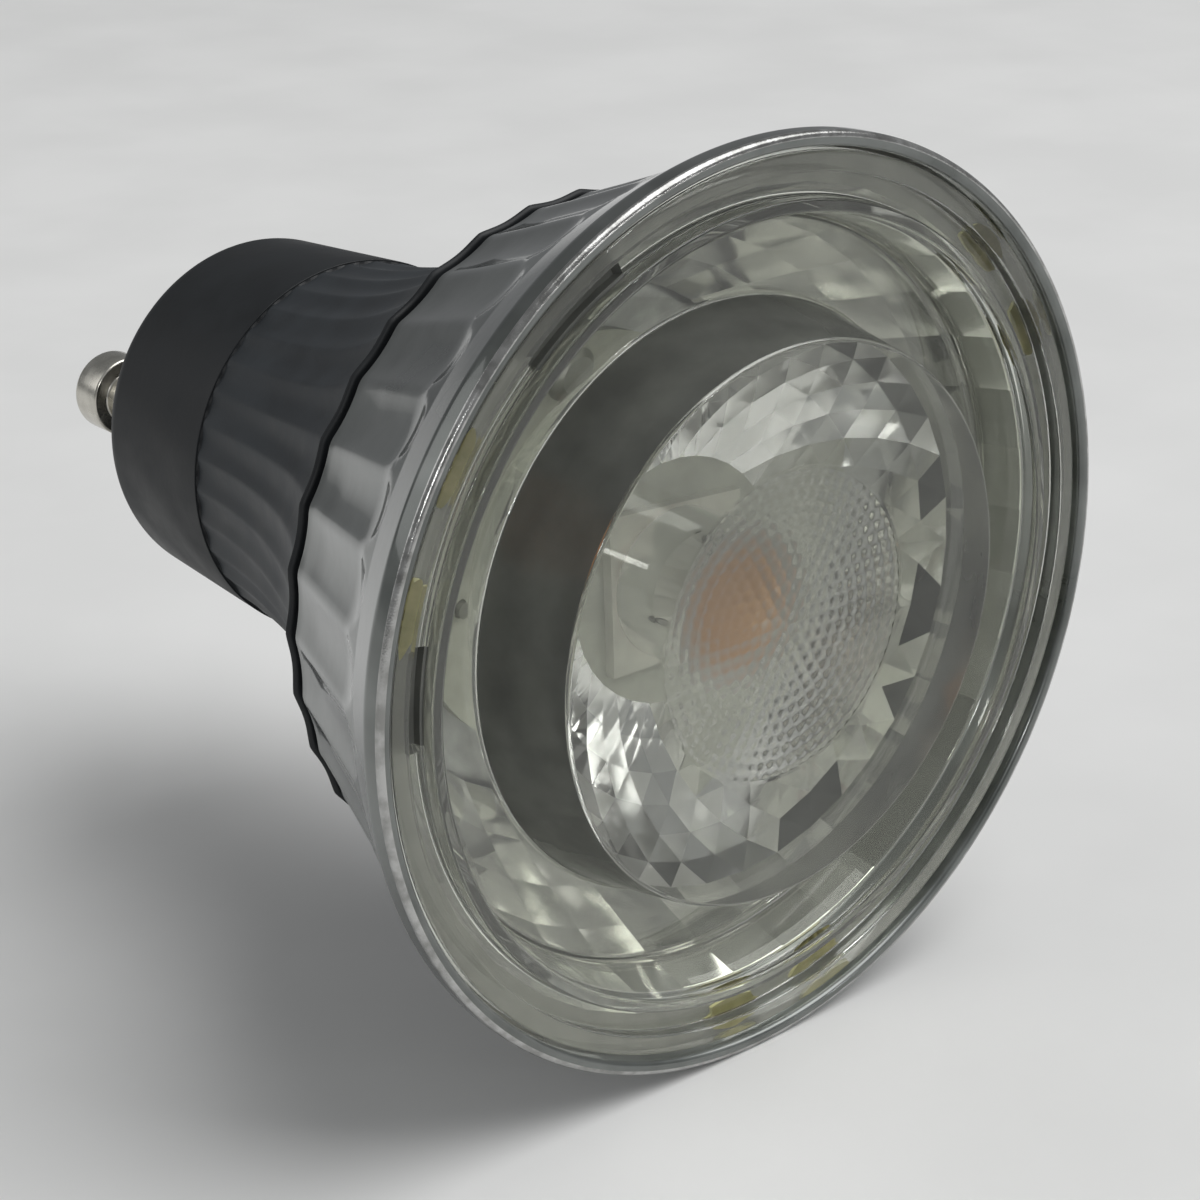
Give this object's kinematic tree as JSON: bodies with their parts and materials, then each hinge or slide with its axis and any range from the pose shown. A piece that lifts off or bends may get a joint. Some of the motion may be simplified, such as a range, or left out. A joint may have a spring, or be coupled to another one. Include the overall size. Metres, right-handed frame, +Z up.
{
  "type": "gu10 led reflector lamp",
  "caption": "Reflector spot lamp with a fluted black base, contact pins, a scooped pressed glass cup and a clear faceted collimator lens over a warm LED.",
  "frame": {"origin": "middle of the base's rear face, where the two pins come out", "axes": "+Y along the pins, towards the lampholder; the beam leaves along -Y; the pins stand side by side along X; +Z up"},
  "size_m": [0.05, 0.0565, 0.05],
  "materials": {
    "base_plastic": "satin moulded black plastic",
    "pin_nickel": "nickel-plated brass, handled",
    "mirrored_glass": "pressed glass, mirrored on the inside",
    "clear_lens": "clear moulded acrylic",
    "glue": "yellowed clear adhesive",
    "bare_aluminium": "pressed, bare",
    "pad_rubber": "soft silicone pad",
    "board_white": "white solder mask on aluminium",
    "ceramic": "white ceramic",
    "phosphor": "phosphor-filled silicone",
    "screw_steel": "zinc-plated",
    "board_green": "green solder mask",
    "capacitor_sleeve": "shrink sleeve",
    "capacitor_dip": "dipped epoxy",
    "ferrite": "ferrite drum",
    "package_black": "moulded epoxy",
    "resistor_body": "lacquered",
    "wire_black": "insulated wire",
    "wire_red": "insulated wire"
  },
  "bodies": {
    "root": {"base_housing": "base_plastic", "pin_left": "pin_nickel", "pin_right": "pin_nickel", "glass_reflector": "mirrored_glass", "front_lens": "clear_lens", "lens_adhesive": "glue", "heat_sink": "bare_aluminium", "thermal_pad": "pad_rubber", "led_board": "board_white", "led_substrate": "ceramic", "led_phosphor": "phosphor", "board_screws": "screw_steel", "driver_board": "board_green", "bulk_capacitor": "capacitor_sleeve", "film_capacitor": "capacitor_dip", "power_inductor": "ferrite", "bridge_rectifier": "package_black", "driver_chip": "package_black", "fusible_resistor": "resistor_body", "mains_lead_left": "wire_black", "mains_lead_right": "wire_black", "led_lead_left": "wire_black", "led_lead_right": "wire_red"}
  },
  "joints": []
}
